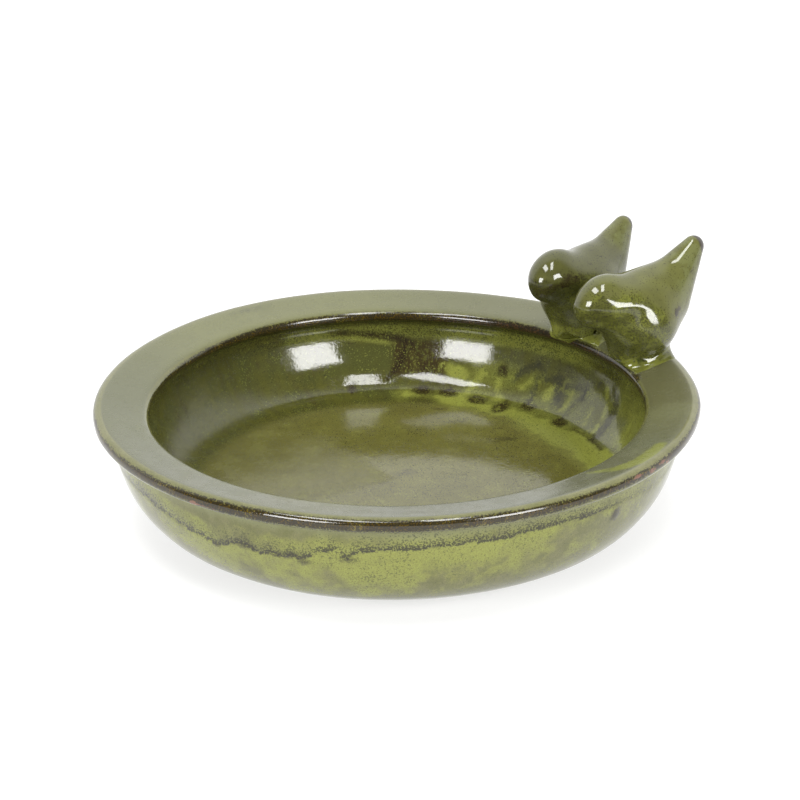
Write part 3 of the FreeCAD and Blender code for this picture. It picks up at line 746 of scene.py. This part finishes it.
# broken streaks, spattered blots and soft grey runs of dark glaze
cloud_f = g.mul(g.field("cloud"), g.step(g.add(st1, g.around_half(n1b, 0.9)), 0.31, 0.54))
col = g.mix(g.mul(cloud_f, 0.9), col, (0.026, 0.0165, 0.0055))
soft_run = g.add(g.field("grey"), g.add(g.around_half(n2, 5.0), g.add(g.around_half(n1b, 4.0), g.add(g.around_half(n1, 2.0), g.around_half(st1, 3.2)))))
col = g.mix(g.mul(g.step(soft_run, 1.5, -1.7), g.step(g.add(st2, g.around_half(n2, 0.8)), 0.3, 0.7, (0.55, 0.92))), col, (0.0270, 0.0260, 0.0190))
ragged = g.add(g.field("dark"), g.add(g.around_half(n2, 4.6), g.add(g.around_half(n1b, 5.0), g.add(g.around_half(n1, 3.0), g.around_half(st1, 2.4)))))
run = g.mul(g.step(ragged, 1.3, -1.3), g.step(g.add(n1b, g.around_half(n2, 0.6)), 0.36, 0.50, (0.45, 1.0)))
col = g.mix(g.mul(run, 0.94), col, DARK)
# brown breaks on the lip and the edge
brk_f = g.add(g.field("brk"), g.add(g.around_half(n1b, 2.4), g.around_half(n1, 2.0)))
brown = g.mix(g.step(g.add(n3, g.around_half(n2, 0.8)), 0.42, 0.68), BROWN, GOLD)
brown = g.mix(g.mul(g.field("reddish"), g.step(n2, 0.25, 0.6, (0.5, 1.0))), brown, RED_BROWN)
brown = g.mix(g.field("plum"), brown, PLUM)
brk_m = g.step(brk_f, -0.5, 1.2)
col = g.mix(brk_m, col, brown)
# specks, and a fine grain of darker and paler glaze
speck_m = g.specks(g.field("speck"), n1, n2)
col = g.mix(g.mul(speck_m, g.step(g.field("speck"), 0.40, 0.80, (0.58, 0.90))), col, SPECK)
grain = g.step(g.add(n0, g.around_half(n1, 0.5)), 0.30, 0.70)
col = g.mix(g.mul(g.do("SUBTRACT", 1.0, g.field("sage")), g.step(grain, 0.0, 1.0, (0.26, 0.0))), col, SPECK)
pale_m = g.specks(g.mul(g.field("inside"), 0.2), g.noise(0.8, 1.0, 0.5, 21.0), n3)
col = g.mix(g.mul(pale_m, 0.4), col, LIME)
rust_f = g.step(g.add(g.field("rust"), g.around_half(n1b, 0.9)), 0.35, 0.75)
col = g.mix(g.mul(rust_f, 0.75), col, RUST)
clay_f = g.step(g.add(g.field("clay"), g.around_half(n2, 0.5)), 0.4, 0.6)
col = g.mix(clay_f, col, g.mix(g.step(n1, 0.4, 0.7), CLAY, (0.24, 0.15, 0.085)))
g.put(col, g.shader.inputs["Base Color"])
rough = g.add(g.step(n2, 0.3, 0.7, (0.055, 0.10)), g.mul(speck_m, 0.05))
rough = g.add(rough, g.mul(g.mul(g.field("satin"), g.do("SUBTRACT", 1.0, brk_m)), g.step(n3, 0.3, 0.7, (0.15, 0.22))))
rough = g.add(rough, g.mul(clay_f, 0.65))
g.put(rough, g.shader.inputs["Roughness"])
g.shader.inputs["IOR"].default_value = 1.5
skin = g.bump(g.add(g.mul(g.noise(1.3, 2.0, 0.5, 13.0), g.add(g.mul(ins, 0.9), 0.7)), g.mul(speck_m, -0.35)), 0.018)
g.put(g.bump(g.noise(6.0, 2.0, 0.5, 17.0), 0.05, skin), g.shader.inputs["Normal"])
bowl.data.materials.append(g.mat)

g = Glaze("bird_glaze")
n1, n1b, n2, n3 = g.noise(0.7, 1.5, 0.5, 2.0), g.noise(1.2, 2.0, 0.6, 4.4), g.noise(2.4, 3.0, 0.6, 6.1), g.noise(7.0, 3.0, 0.55, 8.3)
back = g.mix(g.step(n3, 0.3, 0.7), (0.074, 0.075, 0.0240), (0.092, 0.094, 0.0270))
lowc = g.mix(g.step(g.add(n3, g.around_half(n2, 0.7)), 0.38, 0.66), (0.060, 0.063, 0.0140), (0.106, 0.113, 0.0220))
col = g.mix(g.step(g.add(g.field("deep"), g.add(g.around_half(n2, 0.5), g.around_half(n1, 0.5))), 0.25, 0.8), back, lowc)
col = g.mix(g.step(g.add(g.field("mottle"), g.around_half(n2, 0.6)), 0.3, 0.9), col, (0.103, 0.109, 0.039))
col = g.mix(g.mul(g.field("crown"), g.step(n2, 0.35, 0.65, (0.0, 0.45))), col, (0.085, 0.095, 0.018))
thin_f = g.step(g.add(g.field("thin"), g.around_half(n2, 0.5)), 0.35, 0.95)
col = g.mix(g.mul(thin_f, 0.88), col, (0.036, 0.029, 0.029))
pool_f = g.step(g.add(g.field("pool"), g.around_half(n2, 0.6)), 0.25, 0.85)
col = g.mix(g.field("dim"), col, (0.028, 0.028, 0.006))
col = g.mix(pool_f, col, g.mix(g.step(n2, 0.35, 0.65), (0.116, 0.124, 0.022), (0.070, 0.074, 0.015)))
# lift: lime glaze on the rear bird's foot, lightened further as painted light where the stem lies in shade
col = g.mix(g.mul(g.field("lift"), g.step(n2, 0.3, 0.6, (0.35, 0.95))), col, (0.205, 0.218, 0.043))
density = g.do("SUBTRACT", g.do("MULTIPLY_ADD", g.field("deep"), 0.30, 0.24), g.mul(g.field("lift"), 0.25))
speck_m = g.specks(density, n1, n2)
col = g.mix(g.mul(speck_m, 0.66), col, SPECK)
blot = g.step(g.add(g.field("blotch"), g.add(g.around_half(n2, 0.7), g.around_half(n1, 0.7))), 0.25, 0.85)
col = g.mix(g.mul(blot, 0.88), col, DARK)
g.put(col, g.shader.inputs["Base Color"])
g.put(g.add(g.add(g.step(n2, 0.3, 0.7, (0.05, 0.085)), g.mul(speck_m, 0.04)), g.mul(g.field("satin"), 0.16)), g.shader.inputs["Roughness"])
g.shader.inputs["IOR"].default_value = 1.5
skin = g.bump(g.add(g.noise(1.4, 2.0, 0.5, 13.0), g.mul(speck_m, -0.2)), 0.008)
g.put(g.bump(g.noise(7.0, 2.0, 0.5, 17.0), 0.04, skin), g.shader.inputs["Normal"])
bird_mat = g.mat

g = Glaze("pooled_glaze")
n1, n2, n3 = g.noise(0.7, 1.5, 0.5, 2.0), g.noise(2.4, 3.0, 0.6, 6.1), g.noise(6.0, 3.0, 0.55, 3.3)
col = g.mix(g.step(g.add(n3, g.around_half(n2, 0.6)), 0.36, 0.66), (0.110, 0.117, 0.020), (0.070, 0.074, 0.0140))
col = g.mix(g.step(g.add(g.field("deep"), g.around_half(n2, 0.5)), 0.4, 0.9), col, (0.045, 0.052, 0.0100))
# lift: the rear collar's lime, lightened further as painted light where it lies in shade
col = g.mix(g.mul(g.field("lift"), g.step(n2, 0.3, 0.65, (0.30, 0.85))), col, (0.215, 0.229, 0.045))
speck_m = g.specks(g.do("MULTIPLY_ADD", g.field("deep"), 0.3, 0.2), n1, n2)
col = g.mix(g.mul(speck_m, 0.6), col, SPECK)
g.put(col, g.shader.inputs["Base Color"])
g.put(g.step(n2, 0.3, 0.7, (0.06, 0.12)), g.shader.inputs["Roughness"])
g.shader.inputs["IOR"].default_value = 1.5
g.put(g.bump(g.noise(1.6, 2.0, 0.5, 13.0), 0.008), g.shader.inputs["Normal"])
pool_mat = g.mat

for which in BIRDS:
    birds[which].data.materials.append(bird_mat)
    collars[which].data.materials.append(pool_mat)

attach(bowl, "root")
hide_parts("bowl")
for which in BIRDS:
    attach(birds[which], "root")
    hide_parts("bird_" + which)
    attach(collars[which], "root")
    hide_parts("slip_joint_" + which)

# --------------------------------------------------------- floor and lights
me = bpy.data.meshes.new("floor")
FAR = 6.0
me.from_pydata([(-FAR, -FAR, 0), (FAR, -FAR, 0), (FAR, FAR, 0), (-FAR, FAR, 0)], [], [(0, 1, 2, 3)])
floor = bpy.data.objects.new("floor", me)
scene.collection.objects.link(floor)
m = bpy.data.materials.new("floor_white")
m.use_nodes = True
p = m.node_tree.nodes["Principled BSDF"]
p.inputs["Roughness"].default_value = 0.9
p.inputs["Specular IOR Level"].default_value = 0.1
p.inputs["Emission Color"].default_value = (1, 1, 1, 1)
ft = m.node_tree
fc = ft.nodes.new("ShaderNodeTexCoord")
fs = ft.nodes.new("ShaderNodeSeparateXYZ")
ft.links.new(fc.outputs["Object"], fs.inputs[0])
# painted shade: the floor glows pale as a lit backdrop, but towards the camera's side its colour darkens and its glow
# fades, standing for a sweep whose front lies in shade
fall = ft.nodes.new("ShaderNodeMapRange")
fall.interpolation_type = "SMOOTHSTEP"
fall.inputs["From Min"].default_value, fall.inputs["From Max"].default_value = -1.1, -0.4
ft.links.new(fs.outputs["Y"], fall.inputs["Value"])
tone = ft.nodes.new("ShaderNodeMix")
tone.data_type = "RGBA"
tone.inputs[6].default_value, tone.inputs[7].default_value = (0.06, 0.06, 0.06, 1), (0.42, 0.42, 0.42, 1)
ft.links.new(fall.outputs["Result"], tone.inputs[0])
ft.links.new(tone.outputs[2], p.inputs["Base Color"])
glow_n = ft.nodes.new("ShaderNodeMath")
glow_n.operation = "MULTIPLY"
glow_n.inputs[1].default_value = 0.62
ft.links.new(fall.outputs["Result"], glow_n.inputs[0])
ft.links.new(glow_n.outputs[0], p.inputs["Emission Strength"])
floor.data.materials.append(m)
floor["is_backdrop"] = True

# Pale studio: bright behind, fading overhead, dark on the camera's side.
world = bpy.data.worlds.new("studio")
scene.world = world
world.use_nodes = True
wt = world.node_tree
bg = wt.nodes["Background"]
co = wt.nodes.new("ShaderNodeTexCoord")
sep = wt.nodes.new("ShaderNodeSeparateXYZ")
wt.links.new(co.outputs["Generated"], sep.inputs[0])
ramp = wt.nodes.new("ShaderNodeMapRange")
ramp.interpolation_type = "SMOOTHSTEP"
ramp.inputs["From Min"].default_value = -0.20
ramp.inputs["From Max"].default_value = 0.30
ramp.inputs["To Min"].default_value = 0.13
ramp.inputs["To Max"].default_value = 1.4
wt.links.new(sep.outputs["Y"], ramp.inputs["Value"])
bg.inputs["Color"].default_value = (1, 1, 1, 1)
wt.links.new(ramp.outputs["Result"], bg.inputs["Strength"])


def softbox(name, at, aim, size, radiance, along=(0, 0, 1)):
    l = bpy.data.lights.new(name, "AREA")
    l.shape = "RECTANGLE"
    l.size, l.size_y = size
    l.energy = radiance * 4.0 * size[0] * size[1]
    o = bpy.data.objects.new(name, l)
    scene.collection.objects.link(o)
    o.location = at
    o.rotation_mode = "QUATERNION"
    z = (Vector(at) - Vector(aim)).normalized()
    x = Vector(along).cross(z).normalized()
    o.rotation_quaternion = Matrix((x, z.cross(x), z)).transposed().to_quaternion()
    return o


def toward(azimuth, elevation, far):
    """Place far metres from the dish, azimuth degrees right of the camera's side."""
    a, e = math.radians(azimuth), math.radians(elevation)
    return (far * math.sin(a) * math.cos(e), -far * math.cos(a) * math.cos(e), 0.03 + far * math.sin(e))


softbox("softbox_right", toward(40.0, 21.0, 1.6), (0, 0, 0.03), (0.56, 0.64), 15.0)
softbox("softbox_left", toward(-35.0, 19.5, 1.6), (0, 0, 0.03), (0.62, 0.56), 15.0)


softbox("strip_right", (0.30, -0.50, 1.6), (0, 0, 0.05), (0.28, 0.86), 12.0, (0.25, -0.97, 0))
softbox("strip_left", (-0.42, -0.50, 1.6), (0, 0, 0.05), (0.38, 0.90), 12.0, (-0.45, 0.89, 0))

# ------------------------------------------------------------------- camera
cam = bpy.data.cameras.new("camera")
cam_ob = bpy.data.objects.new("camera", cam)
scene.collection.objects.link(cam_ob)
scene.camera = cam_ob
cam.sensor_width = 36.0
FOCAL_PX, ELEV, ROLL, DIST = 2414.5, math.radians(22.56), math.radians(-0.74), 1.12
CENTRE_PX = (396.2, 392.15)
cam.lens = FOCAL_PX * 36.0 / 800.0
cam.clip_start, cam.clip_end = 0.05, 50.0
aim = Vector((0, 0, 0.0616))
back = Vector((0, -math.cos(ELEV), math.sin(ELEV)))
cam_ob.location = aim + back * DIST
cam_ob.rotation_mode = "QUATERNION"
cam_ob.rotation_quaternion = (-back).to_track_quat("-Z", "Y") @ Matrix.Rotation(ROLL, 3, "Z").to_quaternion()
cam.shift_x = (400.0 - CENTRE_PX[0]) / 800.0
cam.shift_y = -(400.0 - CENTRE_PX[1]) / 800.0
scene.view_settings.view_transform = "Standard"

lo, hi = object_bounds()
